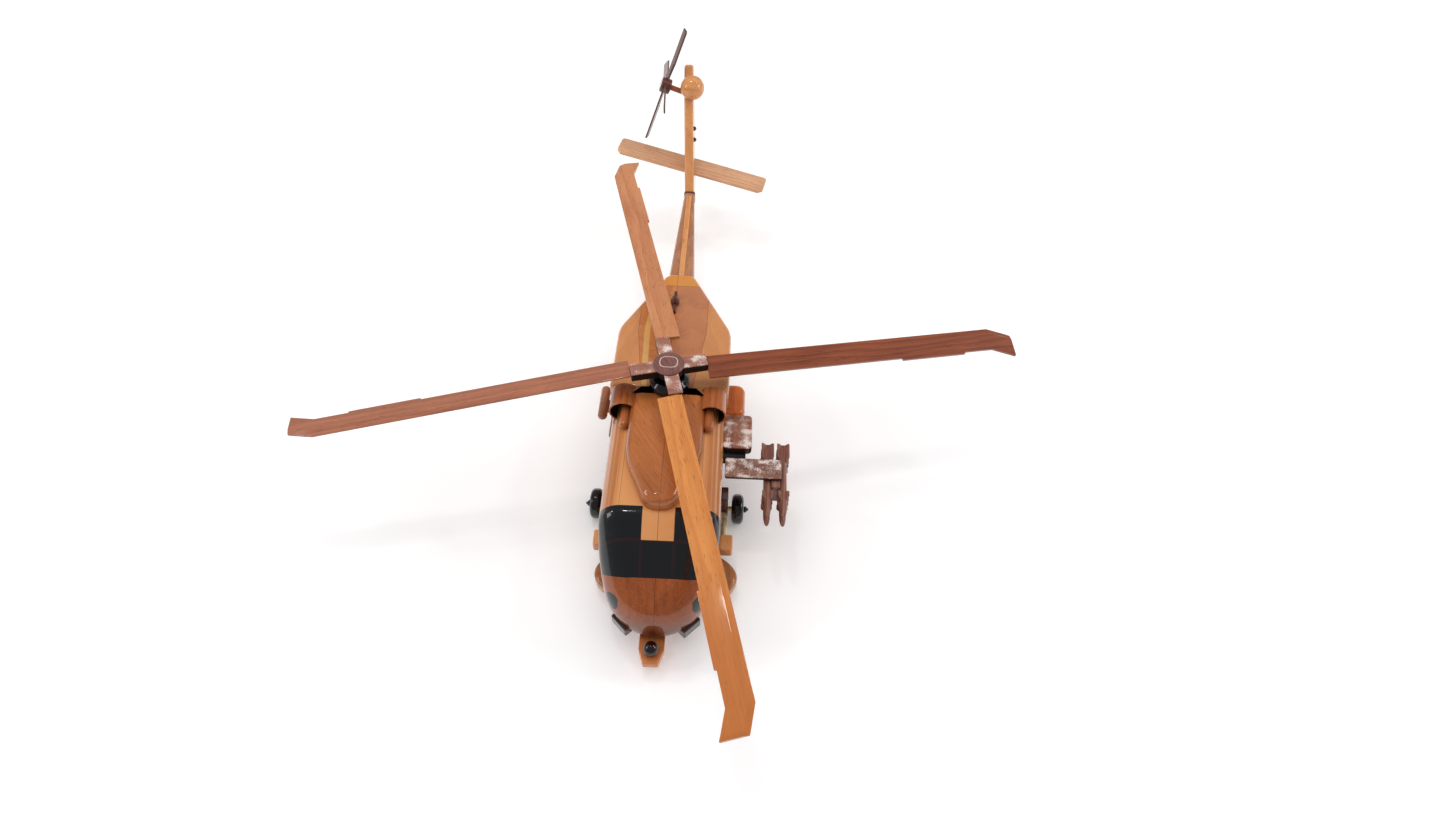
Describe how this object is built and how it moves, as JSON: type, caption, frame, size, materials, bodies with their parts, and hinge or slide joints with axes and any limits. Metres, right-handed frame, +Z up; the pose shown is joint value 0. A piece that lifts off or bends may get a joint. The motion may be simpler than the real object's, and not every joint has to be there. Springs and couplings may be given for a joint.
{
  "type": "helicopter scale model",
  "caption": "Lacquered wooden desk model of a naval helicopter on wheels, with turning main and tail rotors, side stores and a belly radome.",
  "frame": {"origin": "on the ground, at the middle of the model's length and width", "axes": "+X port side, +Y aft, +Z up"},
  "size_m": [0.3363, 0.4177, 0.1227],
  "materials": {
    "mahogany": "gloss lacquer over laminated mahogany",
    "blade_wood": "gloss lacquer",
    "rosewood": "dark gloss lacquer",
    "plug_wood": "gloss lacquer, end grain",
    "black_lacquer": "black gloss lacquer over wood",
    "brass_rod": "dulled brass"
  },
  "bodies": {
    "root": {"axle_caps": "black_lacquer", "axle_port": "brass_rod", "axle_starboard": "brass_rod", "beacon": "rosewood", "boom_band": "mahogany", "boom_spine": "mahogany", "box_foot": "black_lacquer", "deck_antennas": "rosewood", "deck_ball": "rosewood", "deck_plug": "plug_wood", "door_rail": "rosewood", "drag_beams": "brass_rod", "engine_cowling_port": "mahogany", "engine_cowling_starboard": "mahogany", "equipment_box": "rosewood", "fin_lights": "rosewood", "fuselage_port": "mahogany", "fuselage_starboard": "mahogany", "gear_blocks": "mahogany", "gear_strut_port": "mahogany", "gear_strut_starboard": "mahogany", "gearbox_bulb": "mahogany", "inlet_barrels": "mahogany", "launcher_rack": "rosewood", "mast": "rosewood", "missile_inboard_lower": "rosewood", "missile_inboard_upper": "rosewood", "missile_outboard_lower": "rosewood", "missile_outboard_upper": "rosewood", "nose_bracket": "mahogany", "nose_corner_blocks": "black_lacquer", "nose_turret": "rosewood", "radome": "mahogany", "rear_deck": "mahogany", "rescue_hoist": "rosewood", "rotor_fairing": "mahogany", "side_cowling": "mahogany", "side_pod": "rosewood", "stabilator": "mahogany", "swashplate": "black_lacquer", "tail_boom": "mahogany", "tail_fin": "mahogany", "tail_rotor_shaft": "rosewood", "tail_strut": "black_lacquer", "weapons_pylon": "rosewood"},
    "main_rotor": {"rotor_hub": "rosewood", "hub_cap": "rosewood", "main_blade_port": "blade_wood", "main_blade_aft": "blade_wood", "main_blade_starboard": "blade_wood", "main_blade_front": "blade_wood"},
    "tail_rotor": {"tail_rotor_hub": "rosewood", "tail_blade_1": "rosewood", "tail_blade_2": "rosewood", "tail_blade_3": "rosewood", "tail_blade_4": "rosewood"},
    "port_wheel": {"wheel_port": "black_lacquer"},
    "starboard_wheel": {"wheel_starboard": "black_lacquer"},
    "tail_wheel_pair": {"tail_wheels": "black_lacquer", "tail_axle": "brass_rod"}
  },
  "joints": [
    {"name": "main_rotor_spin", "type": "hinge", "parent": "root", "child": "main_rotor", "pos_m": [0, -0.04057, 0.0775], "axis": [0, 0, 1], "continuous": true},
    {"name": "tail_rotor_spin", "type": "hinge", "parent": "root", "child": "tail_rotor", "pos_m": [-0.0166, 0.17403, 0.09], "axis": [-0.9397, 0, 0.342], "continuous": true},
    {"name": "port_wheel_roll", "type": "hinge", "parent": "root", "child": "port_wheel", "pos_m": [0.0348, -0.07007, 0.0075], "axis": [1, 0, 0], "continuous": true},
    {"name": "starboard_wheel_roll", "type": "hinge", "parent": "root", "child": "starboard_wheel", "pos_m": [-0.0348, -0.07007, 0.0075], "axis": [1, 0, 0], "continuous": true},
    {"name": "tail_wheel_roll", "type": "hinge", "parent": "root", "child": "tail_wheel_pair", "pos_m": [0, 0.03143, 0.0042], "axis": [1, 0, 0], "continuous": true}
  ]
}
